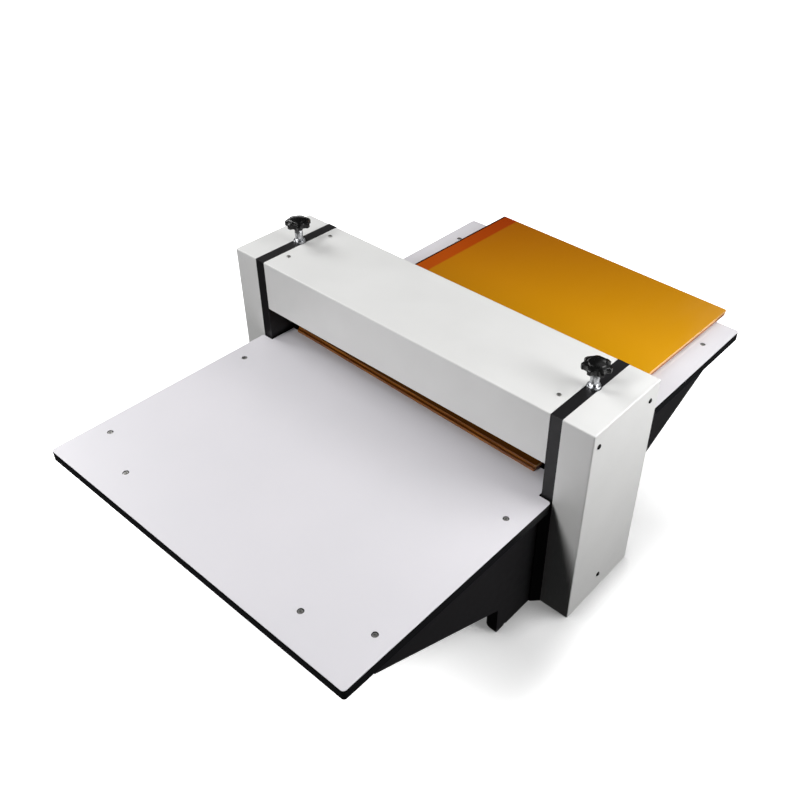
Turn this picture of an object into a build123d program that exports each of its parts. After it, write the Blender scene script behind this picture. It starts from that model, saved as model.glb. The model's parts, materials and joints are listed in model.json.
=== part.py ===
"""Cold roll laminator: a flatbed roller press with two feed tables and a pair of carrier plates.

X runs along the rollers, +Y is the feed direction from the infeed to the outfeed table, and +Z is up.
The origin lies under the middle of the covers, on the surface that the machine stands on.
All sizes are in millimetres.
"""

from build123d import *
import math
import os

os.makedirs("parts", exist_ok=True)

# ---------------------------------------------------------------- driving dimensions
NIP_WIDTH = 600.0  # clear width between the two side plates
PLATE_T = 20.0  # side plate thickness
COVER_W = 53.0  # width of each side cover, outboard of its plate
BODY_DEPTH = 172.0  # covers, along the feed
BODY_HEIGHT = 380.0
TABLE_Z = 224.0  # top face of both feed tables
TABLE_REACH = 510.0  # from the origin to the free end of each table
THROAT_TOP = 287.0  # lower edge of the roller cover
SHEET = 1.5  # folded cover sheet
BRACKET_T = 3.0  # folded bracket sheet
ROLLER_R = 50.0
CARRIER_T = 5.0  # thickness of one carrier plate
CARRIER_W = 545.0  # width of a carrier plate
NIP_Y = 5.0  # the rollers and the pressure screws stand this far behind the covers' middle
GAP = 0.3  # clearance between parts that pass each other

# ---------------------------------------------------------------- derived places
PLATE_IN = NIP_WIDTH / 2
PLATE_OUT = PLATE_IN + PLATE_T
COVER_OUT = PLATE_OUT + COVER_W
HALF_D = BODY_DEPTH / 2
FOOT_D = HALF_D + 12  # the lower part of a side plate is this deep, each way
SHOULDER_Z = TABLE_Z - 19  # where a side plate steps in, under the tables
LOWER_Z = TABLE_Z - GAP - ROLLER_R
UPPER_Z = TABLE_Z + 2 * CARRIER_T + GAP + ROLLER_R

# ---------------------------------------------------------------- bought-in sizes
SHAFT_R = 15.0
BEARING_R = 31.0
BEARING_W = 16.0
BEARING_IN = PLATE_IN + 3  # inboard face of each bearing
SCREW_R = 7.0  # M14 pressure screw
M8_R = 4.0
M5_R = 2.5
SCREW_X = PLATE_IN + PLATE_T / 2
ROLLER_HALF = 288.0  # half the roller face

SIDES = (("left", -1), ("right", 1))
ENDS = (("infeed", -1), ("outfeed", 1))


# ---------------------------------------------------------------- helpers
def save(builder, name):
    """Labels a finished piece and writes its STEP file."""
    builder.part.label = name
    export_step(builder.part, f"parts/{name}.step")


def block(x, y, z, mode=Mode.ADD):
    """A box between two x, two y and two z values, given in any order."""
    x0, x1 = sorted(x)
    y0, y1 = sorted(y)
    z0, z1 = sorted(z)
    with Locations((x0, y0, z0)):
        Box(x1 - x0, y1 - y0, z1 - z0, align=(Align.MIN, Align.MIN, Align.MIN), mode=mode)


def round_x(x, y, z, radius, mode=Mode.ADD):
    """A round bar, or hole, along X between two x values."""
    x0, x1 = sorted(x)
    with BuildSketch(Plane.YZ.offset(x0)) as disc:
        with Locations((y, z)):
            Circle(radius)
    extrude(disc.sketch, amount=x1 - x0, mode=mode)


def round_z(x, y, z, radius, mode=Mode.ADD):
    """A round bar, or hole, along Z between two z values."""
    z0, z1 = sorted(z)
    with BuildSketch(Plane.XY.offset(z0)) as disc:
        with Locations((x, y)):
            Circle(radius)
    extrude(disc.sketch, amount=z1 - z0, mode=mode)


def round_y(x, y, z, radius, mode=Mode.ADD):
    """A round bar, or hole, along Y between two y values."""
    y0, y1 = sorted(y)
    with BuildSketch(Plane.XZ.offset(-y0)) as disc:
        with Locations((x, z)):
            Circle(radius)
    extrude(disc.sketch, amount=-(y1 - y0), mode=mode)


def hex_socket(face, outwards):
    """A hexagonal socket for a 6 mm key, cut into a bolt's head from the middle of its face."""
    with BuildSketch(Plane(origin=face, z_dir=outwards)) as hexagon:
        RegularPolygon(3, 6, major_radius=False)
    extrude(hexagon.sketch, amount=-4, mode=Mode.SUBTRACT)


def nip_span(half):
    """A y range of that half width, centred on the rollers."""
    return (NIP_Y - half, NIP_Y + half)


def corners(z, half):
    """The y and z of a square's four corners, centred on the rollers' y and a height z."""
    return [(y, z + dz) for y in nip_span(half) for dz in (-half, half)]


# ---------------------------------------------------------------- fastener positions
CROSS_BOLT_Y = 77.0
CROSS_BOLT_Z = (34.0, 74.0)
CROSS_TOP = 102.0
PAN_T = 2.0
BRACKET_BOLT_X = 286.0
PAN_SCREW_X = (-200.0, 0.0, 200.0)
PAN_SCREW_Y = 84.0
STANDOFFS = ((-72.0, 354.0), (62.0, 354.0), (-6.0, 36.0))  # y, z on each side plate
STANDOFF_R = 6.0
CAP_BOLT = 26.0  # offset in y and z of each bearing cap screw
KEEPER_BOLT = 33.0
GEARBOX_BOLT = 38.0
COVER_SCREW_X = 284.0
COVER_SCREW_Y = nip_span(49.0)
TABLE_SCREWS = ((290.0, 158.0), (290.0, 426.0), (193.0, 463.0))  # x and distance from the origin

# ---------------------------------------------------------------- drive sizes
MODULE = 3.0
GEAR_TEETH = 48
PINION_TEETH = 16
DRIVE_Z = LOWER_Z - MODULE * (GEAR_TEETH + PINION_TEETH) / 2
GEAR_X = (330.0, 352.0)
PINION_X = (329.0, 353.0)
OUTPUT_R = 7.5
PILOT_R = 17.0

# ---------------------------------------------------------------- upper bearing block sizes
SLOT_HALF = 40.0
SLOT_Z = (230.0, 354.0)
BLOCK_Z = (UPPER_Z - 40, UPPER_Z + 47.7)
POCKET_DEPTH = 11.0
RETAINER_T = 3.0
BUSH_R = 8.5
COLLAR_R = 10.5
COLLAR_T = 4.0
RECESS_R = 8.7  # shallow recess in the collar, round the screw
RECESS_DEPTH = 3.0

# ---------------------------------------------------------------- electrics on the left side
INLET_YZ = (45.0, 46.0)
SWITCH_YZ = (-45.0, 300.0)
CABLE_R = 3.5
CABLE_Y = -45.0
CABLE_Z = 24.0
GROMMET_R = 7.0


# ---------------------------------------------------------------- side plates
def side_plate(name, sign):
    """A thick steel plate with a deeper foot, a bearing bore and a slot for the upper bearing block."""
    with BuildPart() as plate:
        with BuildSketch(Plane.YZ.offset(PLATE_IN)):
            with Locations((0, BODY_HEIGHT / 2)):
                Rectangle(BODY_DEPTH, BODY_HEIGHT)
            with Locations((0, SHOULDER_Z / 2)):
                Rectangle(2 * FOOT_D, SHOULDER_Z)
        extrude(amount=PLATE_T)
        # the foot's two outer upright edges are bevelled back to the covers' depth
        foot_edges = plate.edges().filter_by(Axis.Z).filter_by(
            lambda e: abs(abs(e.center().Y) - FOOT_D) < 0.1 and e.center().X > PLATE_OUT - 0.1
        )
        chamfer(foot_edges, length=FOOT_D - HALF_D - 0.5)
        # slot for the bearing block
        with BuildSketch(Plane.YZ.offset(PLATE_IN)):
            with Locations((NIP_Y, sum(SLOT_Z) / 2)):
                RectangleRounded(2 * SLOT_HALF, SLOT_Z[1] - SLOT_Z[0], 3)
        extrude(amount=PLATE_T, mode=Mode.SUBTRACT)
        # lower bearing seat with an inboard shoulder
        round_x((BEARING_IN, PLATE_OUT), NIP_Y, LOWER_Z, BEARING_R, Mode.SUBTRACT)
        round_x((PLATE_IN, BEARING_IN), NIP_Y, LOWER_Z, 22, Mode.SUBTRACT)
        # pressure screw bush
        round_z(SCREW_X, NIP_Y, (SLOT_Z[1] - 1, BODY_HEIGHT), BUSH_R, Mode.SUBTRACT)
        for y in (-CROSS_BOLT_Y, CROSS_BOLT_Y):
            for z in CROSS_BOLT_Z:
                round_x((PLATE_IN, PLATE_OUT), y, z, M8_R + 0.4, Mode.SUBTRACT)
        for y, z in STANDOFFS:
            round_x((PLATE_OUT - 10, PLATE_OUT), y, z, 3, Mode.SUBTRACT)
        for y, z in corners(LOWER_Z, CAP_BOLT):
            round_x((PLATE_OUT - 10, PLATE_OUT), y, z, M5_R, Mode.SUBTRACT)
        if sign > 0:
            round_x((PLATE_IN, PLATE_OUT), NIP_Y, DRIVE_Z, PILOT_R, Mode.SUBTRACT)
            for y, z in corners(DRIVE_Z, GEARBOX_BOLT):
                round_x((PLATE_IN, PLATE_IN + 12), y, z, 3, Mode.SUBTRACT)
        else:
            round_x((PLATE_IN, PLATE_OUT), CABLE_Y, CABLE_Z, GROMMET_R, Mode.SUBTRACT)
    if sign > 0:
        save(plate, name)
        return
    with BuildPart() as left:
        mirror(plate.part, about=Plane.YZ)
    save(left, name)


for side, sign in SIDES:
    side_plate(f"{side}_side_plate", sign)


# ---------------------------------------------------------------- crossmembers and their bolts
def crossmember(name, sign):
    """A channel whose web faces outwards, with a drilled end plate welded in at each end."""
    web = (sign * (FOOT_D - 4), sign * FOOT_D)
    inner = sign * (FOOT_D - 28)
    outer = sign * FOOT_D
    with BuildPart() as bar:
        block((-PLATE_IN, PLATE_IN), web, (PAN_T, CROSS_TOP))
        block((-PLATE_IN, PLATE_IN), (inner, outer), (PAN_T, PAN_T + 4))
        block((-PLATE_IN, PLATE_IN), (inner, outer), (CROSS_TOP - 4, CROSS_TOP))
        for end in (-1, 1):
            block((end * (PLATE_IN - 8), end * PLATE_IN), (inner, outer), (PAN_T, CROSS_TOP))
            for z in CROSS_BOLT_Z:
                x = (end * (PLATE_IN - 8), end * PLATE_IN)
                round_x(x, sign * CROSS_BOLT_Y, z, M8_R, Mode.SUBTRACT)
                round_y(end * BRACKET_BOLT_X, web, z, M8_R, Mode.SUBTRACT)
        for x in PAN_SCREW_X:
            round_z(x, sign * PAN_SCREW_Y, (PAN_T, PAN_T + 4), M5_R, Mode.SUBTRACT)
    save(bar, name)


for name, sign in (("front_crossmember", -1), ("rear_crossmember", 1)):
    crossmember(name, sign)

with BuildPart() as frame_bolts:
    for sx in (-1, 1):
        for sy in (-1, 1):
            for z in CROSS_BOLT_Z:
                y = sy * CROSS_BOLT_Y
                round_x((sx * (PLATE_IN - 12), sx * PLATE_OUT), y, z, M8_R)
                round_x((sx * PLATE_OUT, sx * (PLATE_OUT + 8)), y, z, 6.5)
                hex_socket((sx * (PLATE_OUT + 8), y, z), (sx, 0, 0))
                x = sx * BRACKET_BOLT_X
                face = FOOT_D + BRACKET_T
                round_y(x, (sy * (FOOT_D - 12), sy * face), z, M8_R)
                round_y(x, (sy * face, sy * (face + 8)), z, 6.5)
                hex_socket((x, sy * (face + 8), z), (0, sy, 0))
save(frame_bolts, "frame_bolts")


# ---------------------------------------------------------------- bottom pan
PAN_HALF = PLATE_IN - 0.2
with BuildPart() as bottom_pan:
    block((-PAN_HALF, PAN_HALF), (-FOOT_D, FOOT_D), (0, PAN_T))
    with Locations(*[(x, y, 0) for x in PAN_SCREW_X for y in (-PAN_SCREW_Y, PAN_SCREW_Y)]):
        Cone(5, M5_R, PAN_T, align=(Align.CENTER, Align.CENTER, Align.MIN), mode=Mode.SUBTRACT)
save(bottom_pan, "bottom_pan")

with BuildPart() as bottom_pan_screws:
    for x in PAN_SCREW_X:
        for y in (-PAN_SCREW_Y, PAN_SCREW_Y):
            with Locations((x, y, 0)):
                Cone(5, M5_R, PAN_T, align=(Align.CENTER, Align.CENTER, Align.MIN))
            round_z(x, y, (PAN_T, PAN_T + 10), M5_R)
            round_z(x, y, (0, 1.2), 1.6, Mode.SUBTRACT)
save(bottom_pan_screws, "bottom_pan_screws")


# ---------------------------------------------------------------- side covers
def side_cover(name, sign):
    """A folded box, open towards its side plate, with a top notch round the screw collar."""
    with BuildPart() as cover:
        block((PLATE_OUT, COVER_OUT), (-HALF_D, HALF_D), (0, BODY_HEIGHT))
        outer_edges = cover.edges().filter_by(
            lambda e: e.center().X > COVER_OUT - 0.1 and e.center().Z > 1
        ) + cover.edges().filter_by(Axis.X).filter_by(lambda e: e.center().Z > 1)
        fillet(outer_edges, radius=2)
        inner = HALF_D - SHEET
        hollow = (PLATE_OUT, COVER_OUT - SHEET)
        block(hollow, (-inner, inner), (0, BODY_HEIGHT - SHEET), Mode.SUBTRACT)
        round_z(SCREW_X, NIP_Y, (BODY_HEIGHT - 5, BODY_HEIGHT), COLLAR_R + 1, Mode.SUBTRACT)
        for y, z in STANDOFFS:
            round_x((COVER_OUT - SHEET, COVER_OUT), y, z, M5_R, Mode.SUBTRACT)
        if sign < 0:
            y, z = INLET_YZ
            block((COVER_OUT - SHEET, COVER_OUT), (y - 13.5, y + 13.5), (z - 10, z + 10), Mode.SUBTRACT)
            y, z = SWITCH_YZ
            block((COVER_OUT - SHEET, COVER_OUT), (y - 11, y + 11), (z - 14, z + 14), Mode.SUBTRACT)
    if sign > 0:
        save(cover, name)
        return
    with BuildPart() as left:
        mirror(cover.part, about=Plane.YZ)
    save(left, name)


for side, sign in SIDES:
    side_cover(f"{side}_side_cover", sign)

with BuildPart() as side_cover_standoffs:
    for sx in (-1, 1):
        for y, z in STANDOFFS:
            round_x((sx * (PLATE_OUT - 10), sx * PLATE_OUT), y, z, 3)
            round_x((sx * PLATE_OUT, sx * (COVER_OUT - SHEET)), y, z, STANDOFF_R)
            round_x((sx * (COVER_OUT - 14), sx * (COVER_OUT - SHEET)), y, z, M5_R, Mode.SUBTRACT)
save(side_cover_standoffs, "side_cover_standoffs")


# ---------------------------------------------------------------- roller cover and its ledges
COVER_HALF = PLATE_IN - 0.5
HEM = 12.0
with BuildPart() as roller_cover:
    block((-COVER_HALF, COVER_HALF), (-HALF_D, HALF_D), (THROAT_TOP, BODY_HEIGHT))
    fillet(roller_cover.edges().filter_by(Axis.X).group_by(Axis.Z)[-1], radius=2)
    inner = HALF_D - SHEET
    all_x = (-COVER_HALF, COVER_HALF)
    block(all_x, (-inner, inner), (THROAT_TOP + SHEET, BODY_HEIGHT - SHEET), Mode.SUBTRACT)
    block(all_x, (-HALF_D + HEM, HALF_D - HEM), (THROAT_TOP, THROAT_TOP + SHEET), Mode.SUBTRACT)
    for sx in (-1, 1):
        round_z(sx * SCREW_X, NIP_Y, (BODY_HEIGHT - 5, BODY_HEIGHT), COLLAR_R + 1, Mode.SUBTRACT)
        for y in COVER_SCREW_Y:
            x = sx * COVER_SCREW_X
            round_z(x, y, (BODY_HEIGHT - SHEET, BODY_HEIGHT), M5_R, Mode.SUBTRACT)
save(roller_cover, "roller_cover")

LEDGE_Z = BODY_HEIGHT - SHEET
with BuildPart() as roller_cover_ledges:
    for sx in (-1, 1):
        block((sx * 272, sx * PLATE_IN), (-65, 65), (LEDGE_Z - 3, LEDGE_Z))
        block((sx * (PLATE_IN - 3), sx * PLATE_IN), (-65, 65), (LEDGE_Z - 22, LEDGE_Z))
        for y in COVER_SCREW_Y:
            round_z(sx * COVER_SCREW_X, y, (LEDGE_Z - 3, LEDGE_Z), M5_R, Mode.SUBTRACT)
save(roller_cover_ledges, "roller_cover_ledges")

# pan-head screws of the covers: three in each side cover, four in the roller cover
HEAD_R, HEAD_H = 4.2, 2.4
with BuildPart() as cover_screws:
    for sx in (-1, 1):
        for y, z in STANDOFFS:
            round_x((sx * (COVER_OUT - 13), sx * COVER_OUT), y, z, M5_R)
            round_x((sx * COVER_OUT, sx * (COVER_OUT + HEAD_H)), y, z, HEAD_R)
            socket = (sx * (COVER_OUT + 0.8), sx * (COVER_OUT + HEAD_H))
            round_x(socket, y, z, 1.6, Mode.SUBTRACT)
        for y in COVER_SCREW_Y:
            x = sx * COVER_SCREW_X
            round_z(x, y, (BODY_HEIGHT - 12, BODY_HEIGHT), M5_R)
            round_z(x, y, (BODY_HEIGHT, BODY_HEIGHT + HEAD_H), HEAD_R)
            round_z(x, y, (BODY_HEIGHT + 0.8, BODY_HEIGHT + HEAD_H), 1.6, Mode.SUBTRACT)
save(cover_screws, "cover_screws")


# ---------------------------------------------------------------- feed tables
SKIN_T = 1.0
BOARD_T = 17.0
BOARD_BOTTOM = TABLE_Z - SKIN_T - BOARD_T
TABLE_HALF = PLATE_OUT
PLATE_GAP = 3.0  # between the table and a side plate
NIP_GAP = 43.0  # from the nip to the inner edge of each table
CSK_R = 5.0  # countersink at the top of the board
HEAD_BOTTOM = BOARD_BOTTOM + BOARD_T - 2.8
HEAD_CONE = 1.6  # height of the conical part of a table screw's head
CSK_HEAD_R = 3.9


def table_outline(sign):
    """A wide leaf with a tongue that runs in between the side plates, as a sketch seen from above."""
    tongue = HALF_D + PLATE_GAP
    inner = NIP_GAP + sign * NIP_Y
    with Locations((0, sign * (tongue + TABLE_REACH) / 2)):
        RectangleRounded(2 * TABLE_HALF, TABLE_REACH - tongue, 5)
    with Locations((0, sign * (inner + tongue + 20) / 2)):
        Rectangle(2 * (PLATE_IN - PLATE_GAP), tongue + 20 - inner)


def table_layer(name, sign, z, countersunk):
    """One layer of a feed table, with its screw holes."""
    with BuildPart() as layer:
        with BuildSketch(Plane.XY.offset(z[0])):
            table_outline(sign)
        extrude(amount=z[1] - z[0])
        for x, reach in TABLE_SCREWS:
            for sx in (-1, 1):
                if not countersunk:
                    round_z(sx * x, sign * reach, z, CSK_R, Mode.SUBTRACT)
                    continue
                with Locations((sx * x, sign * reach, z[1])):
                    CounterSinkHole(M5_R, CSK_R, z[1] - z[0])
    save(layer, name)


for end, sign in ENDS:
    table_layer(f"{end}_table_board", sign, (BOARD_BOTTOM, TABLE_Z - SKIN_T), True)
    table_layer(f"{end}_table_skin", sign, (TABLE_Z - SKIN_T, TABLE_Z), False)

with BuildPart() as table_screws:
    for x, reach in TABLE_SCREWS:
        for sx in (-1, 1):
            for sy in (-1, 1):
                px, py = sx * x, sy * reach
                round_z(px, py, (BOARD_BOTTOM - BRACKET_T - 4, HEAD_BOTTOM), M5_R)
                with Locations((px, py, HEAD_BOTTOM)):
                    Cone(M5_R, CSK_HEAD_R, HEAD_CONE, align=(Align.CENTER, Align.CENTER, Align.MIN))
                round_z(px, py, (HEAD_BOTTOM + HEAD_CONE, TABLE_Z - SKIN_T), CSK_HEAD_R)
                round_z(px, py, (TABLE_Z - SKIN_T - 1.5, TABLE_Z - SKIN_T), 1.6, Mode.SUBTRACT)
save(table_screws, "table_screws")


# ---------------------------------------------------------------- table brackets
BRACKET_X = 306.0  # outer face of a bracket's side panel
FLANGE_W = 20.0
WIDE_FLANGE_W = 30.0
BRACKET_REACH = 445.0
NOSE_Z = 176.0  # lower end of the bracket's nose
LEG_Y = 182.0
LEG_TOP = 53.0
RISE = {"infeed": 0.0, "outfeed": 16.0}  # the outfeed brackets are this much shallower


def bracket_outline(rise, inset, floor):
    """The side panel's outline, pulled in by inset everywhere but at its foot, which stays at floor."""
    slope = (NOSE_Z - LEG_TOP) / (BRACKET_REACH - LEG_Y)
    raised = rise + inset * (math.hypot(1, slope) - slope)
    nose = NOSE_Z + raised
    knee = LEG_TOP + raised
    with BuildLine() as outline:
        Polyline(
            (BRACKET_REACH - inset, BOARD_BOTTOM - inset),
            (BRACKET_REACH - inset, nose),
            (LEG_Y - inset, knee),
            (LEG_Y - inset, floor),
            (FOOT_D + inset, floor),
            (FOOT_D + inset, BOARD_BOTTOM - inset),
            close=True,
        )
    make_face(outline.edges())


def table_bracket(rise):
    """A right bracket that reaches towards +Y, with flanges turned in along all its edges but the foot."""
    with BuildPart() as bracket:
        with BuildSketch(Plane.YZ.offset(BRACKET_X - FLANGE_W)):
            bracket_outline(rise, 0, 0)
        extrude(amount=FLANGE_W)
        with BuildSketch(Plane.YZ.offset(BRACKET_X - FLANGE_W)):
            bracket_outline(rise, BRACKET_T, -1)
        extrude(amount=FLANGE_W - BRACKET_T, mode=Mode.SUBTRACT)
        # the top and rear flanges are wider, to take the table screws and the frame bolts
        wide = (BRACKET_X - WIDE_FLANGE_W, BRACKET_X - FLANGE_W)
        block(wide, (FOOT_D, BRACKET_REACH), (BOARD_BOTTOM - BRACKET_T, BOARD_BOTTOM))
        block(wide, (FOOT_D, FOOT_D + BRACKET_T), (20, BOARD_BOTTOM))
        # rounded inner corner of the leg's flange, and a relief in the panel's foot
        leg_corner = bracket.edges().filter_by(Axis.Y).filter_by(
            lambda e: e.center().Y > LEG_Y - 5 and e.center().Z < 0.1
            and e.center().X < BRACKET_X - FLANGE_W + 0.1
        )
        fillet(leg_corner, radius=8)
        round_x((BRACKET_X - BRACKET_T, BRACKET_X), LEG_Y - 21, 0, 3, Mode.SUBTRACT)
        for x, reach in TABLE_SCREWS[:2]:
            round_z(x, reach, (BOARD_BOTTOM - BRACKET_T, BOARD_BOTTOM), M5_R, Mode.SUBTRACT)
        for z in CROSS_BOLT_Z:
            round_y(BRACKET_BOLT_X, (FOOT_D, FOOT_D + BRACKET_T), z, M8_R, Mode.SUBTRACT)
    return bracket.part


for end, sy in ENDS:
    bracket_solid = table_bracket(RISE[end])
    turned = bracket_solid if sy > 0 else bracket_solid.mirror(Plane.XZ)
    for side, sx in SIDES:
        placed = turned if sx > 0 else turned.mirror(Plane.YZ)
        with BuildPart() as bracket_part:
            add(placed)
        save(bracket_part, f"{end}_{side}_bracket")

# an angle under the free end of each table, bolted to the bracket noses
CROSSBAR_X = BRACKET_X - BRACKET_T
with BuildPart() as table_crossbars:
    for end, sy in ENDS:
        leaf = (sy * BRACKET_REACH, sy * (BRACKET_REACH + 30))
        web = (sy * BRACKET_REACH, sy * (BRACKET_REACH + BRACKET_T))
        block((-CROSSBAR_X, CROSSBAR_X), leaf, (BOARD_BOTTOM - BRACKET_T, BOARD_BOTTOM))
        block((-CROSSBAR_X, CROSSBAR_X), web, (NOSE_Z + RISE[end] + 6, BOARD_BOTTOM))
        for sx in (-1, 1):
            x, reach = TABLE_SCREWS[2]
            hole = (BOARD_BOTTOM - BRACKET_T, BOARD_BOTTOM)
            round_z(sx * x, sy * reach, hole, M5_R, Mode.SUBTRACT)
save(table_crossbars, "table_crossbars")


# ---------------------------------------------------------------- bearings
RING_OUT = 27.0
RING_IN = 18.2
SEAL_T = 1.2


def bearing_outers(name, z):
    """The outer rings of both bearings on one roller, each with its two seals."""
    with BuildPart() as rings:
        for sx in (-1, 1):
            inboard, outboard = sx * BEARING_IN, sx * (BEARING_IN + BEARING_W)
            round_x((inboard, outboard), NIP_Y, z, BEARING_R)
            round_x((inboard + sx * SEAL_T, outboard - sx * SEAL_T), NIP_Y, z, RING_OUT, Mode.SUBTRACT)
            round_x((inboard, outboard), NIP_Y, z, RING_IN + GAP, Mode.SUBTRACT)
    save(rings, name)


def bearing_inners(name, z):
    """The inner rings of both bearings, which turn with the shaft."""
    with BuildPart() as rings:
        for sx in (-1, 1):
            span = (sx * BEARING_IN, sx * (BEARING_IN + BEARING_W))
            round_x(span, NIP_Y, z, RING_IN)
            round_x(span, NIP_Y, z, SHAFT_R, Mode.SUBTRACT)
    save(rings, name)


for level, height in (("lower", LOWER_Z), ("upper", UPPER_Z)):
    bearing_outers(f"{level}_bearing_outer_rings", height)
    bearing_inners(f"{level}_bearing_inner_rings", height)

with BuildPart() as lower_bearing_caps:
    for sx in (-1, 1):
        span = (sx * PLATE_OUT, sx * (PLATE_OUT + 4))
        round_x(span, NIP_Y, LOWER_Z, 42)
        round_x(span, NIP_Y, LOWER_Z, 20, Mode.SUBTRACT)
        for y, z in corners(LOWER_Z, CAP_BOLT):
            round_x(span, y, z, M5_R, Mode.SUBTRACT)
save(lower_bearing_caps, "lower_bearing_caps")

with BuildPart() as bearing_cap_screws:
    for sx in (-1, 1):
        face = PLATE_OUT + 4
        for y, z in corners(LOWER_Z, CAP_BOLT):
            round_x((sx * (PLATE_OUT - 8), sx * face), y, z, M5_R)
            round_x((sx * face, sx * (face + 2.4)), y, z, 4.2)
            round_x((sx * (face + 1), sx * (face + 2.4)), y, z, 1.6, Mode.SUBTRACT)
save(bearing_cap_screws, "bearing_cap_screws")


# ---------------------------------------------------------------- rollers
RUBBER_T = 6.0
TUBE_R = ROLLER_R - RUBBER_T
TUBE_BORE_R = 36.0
DISC_T = 20.0


def roller_core(name, z):
    """A steel tube with a bored disc welded into each end."""
    with BuildPart() as core:
        round_x((-ROLLER_HALF, ROLLER_HALF), NIP_Y, z, TUBE_R)
        hollow = ROLLER_HALF - DISC_T
        round_x((-hollow, hollow), NIP_Y, z, TUBE_BORE_R, Mode.SUBTRACT)
        round_x((-ROLLER_HALF, ROLLER_HALF), NIP_Y, z, SHAFT_R, Mode.SUBTRACT)
    save(core, name)


def roller_rubber(name, z):
    """The rubber covering, bonded round the tube."""
    with BuildPart() as rubber:
        round_x((-ROLLER_HALF, ROLLER_HALF), NIP_Y, z, ROLLER_R)
        round_x((-ROLLER_HALF, ROLLER_HALF), NIP_Y, z, TUBE_R, Mode.SUBTRACT)
        rims = rubber.edges().filter_by(GeomType.CIRCLE)
        fillet(rims.filter_by(lambda e: e.radius > TUBE_R + 1), radius=1.5)
    save(rubber, name)


for level, height in (("lower", LOWER_Z), ("upper", UPPER_Z)):
    roller_core(f"{level}_roller_core", height)
    roller_rubber(f"{level}_roller_rubber", height)

KEY_W, KEY_H = 8.0, 7.0
KEY_TOP = LOWER_Z + SHAFT_R + 3
SHAFT_LEFT = -330.0
SHAFT_RIGHT = 362.0
CIRCLIP_X = 357.0
with BuildPart() as lower_roller_shaft:
    round_x((SHAFT_LEFT, SHAFT_RIGHT), NIP_Y, LOWER_Z, SHAFT_R)
    chamfer(lower_roller_shaft.edges().filter_by(GeomType.CIRCLE), length=1)
    key_seat = (KEY_TOP - KEY_H, LOWER_Z + SHAFT_R)
    block(GEAR_X, nip_span(KEY_W / 2), key_seat, Mode.SUBTRACT)
    for x in ((CIRCLIP_X, CIRCLIP_X + 1.5), (SHAFT_LEFT + 5, SHAFT_LEFT + 6.5)):
        round_x(x, NIP_Y, LOWER_Z, SHAFT_R, Mode.SUBTRACT)
        round_x(x, NIP_Y, LOWER_Z, SHAFT_R - 1)
save(lower_roller_shaft, "lower_roller_shaft")

with BuildPart() as upper_roller_shaft:
    round_x((SHAFT_LEFT, -SHAFT_LEFT), NIP_Y, UPPER_Z, SHAFT_R)
    chamfer(upper_roller_shaft.edges().filter_by(GeomType.CIRCLE), length=1)
save(upper_roller_shaft, "upper_roller_shaft")

# split spring rings in the two grooves of the lower shaft
with BuildPart() as lower_shaft_circlips:
    for x in ((CIRCLIP_X, CIRCLIP_X + 1.5), (SHAFT_LEFT + 5, SHAFT_LEFT + 6.5)):
        round_x(x, NIP_Y, LOWER_Z, SHAFT_R + 4)
        round_x(x, NIP_Y, LOWER_Z, SHAFT_R - 1, Mode.SUBTRACT)
        block(x, nip_span(3), (LOWER_Z - SHAFT_R - 5, LOWER_Z), Mode.SUBTRACT)
save(lower_shaft_circlips, "lower_shaft_circlips")


# ---------------------------------------------------------------- drive gear, key and pinion
PRESSURE_ANGLE = math.radians(20)
BACKLASH = 0.8


def gear_teeth(x, z, teeth, first_angle):
    """A spur gear's body and straight-flanked teeth, round an axis along X."""
    pitch_r = MODULE * teeth / 2
    root_r = pitch_r - 1.25 * MODULE
    half = MODULE * math.pi / 4 - BACKLASH / 2
    flank = math.tan(PRESSURE_ANGLE)
    tip_half = half - MODULE * flank
    root_half = half + 1.25 * MODULE * flank
    step = 360 / teeth
    with BuildSketch(Plane.YZ.offset(x[0])) as profile:
        with Locations((NIP_Y, z)):
            Circle(root_r)
            with PolarLocations(0, teeth, start_angle=first_angle, angular_range=360 - step, endpoint=True):
                Polygon(
                    (root_r - 1, -root_half),
                    (pitch_r + MODULE, -tip_half),
                    (pitch_r + MODULE, tip_half),
                    (root_r - 1, root_half),
                    align=None,
                )
    extrude(profile.sketch, amount=x[1] - x[0])


with BuildPart() as drive_gear:
    # a space between two teeth faces straight down, to the pinion
    gear_teeth(GEAR_X, LOWER_Z, GEAR_TEETH, -90 + 180 / GEAR_TEETH)
    for x in ((GEAR_X[0], GEAR_X[0] + 6), (GEAR_X[1] - 6, GEAR_X[1])):
        round_x(x, NIP_Y, LOWER_Z, 58, Mode.SUBTRACT)
        round_x(x, NIP_Y, LOWER_Z, 26)
    with BuildSketch(Plane.YZ.offset(GEAR_X[0])):
        with Locations((NIP_Y, LOWER_Z)):
            with PolarLocations(42, 6, start_angle=30):
                Circle(10)
    extrude(amount=GEAR_X[1] - GEAR_X[0], mode=Mode.SUBTRACT)
    round_x((GEAR_X[1], CIRCLIP_X), NIP_Y, LOWER_Z, 22)
    round_x((GEAR_X[0], CIRCLIP_X), NIP_Y, LOWER_Z, SHAFT_R, Mode.SUBTRACT)
    block(GEAR_X, nip_span(KEY_W / 2), (LOWER_Z, KEY_TOP), Mode.SUBTRACT)
save(drive_gear, "drive_gear")

with BuildPart() as drive_gear_key:
    block(GEAR_X, nip_span(KEY_W / 2), (KEY_TOP - KEY_H, KEY_TOP))
save(drive_gear_key, "drive_gear_key")

with BuildPart() as drive_pinion:
    gear_teeth(PINION_X, DRIVE_Z, PINION_TEETH, 90)
    round_x((PINION_X[1], PINION_X[1] + 6), NIP_Y, DRIVE_Z, 14)
    round_x((PINION_X[0], PINION_X[1] + 6), NIP_Y, DRIVE_Z, OUTPUT_R, Mode.SUBTRACT)
save(drive_pinion, "drive_pinion")

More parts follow.
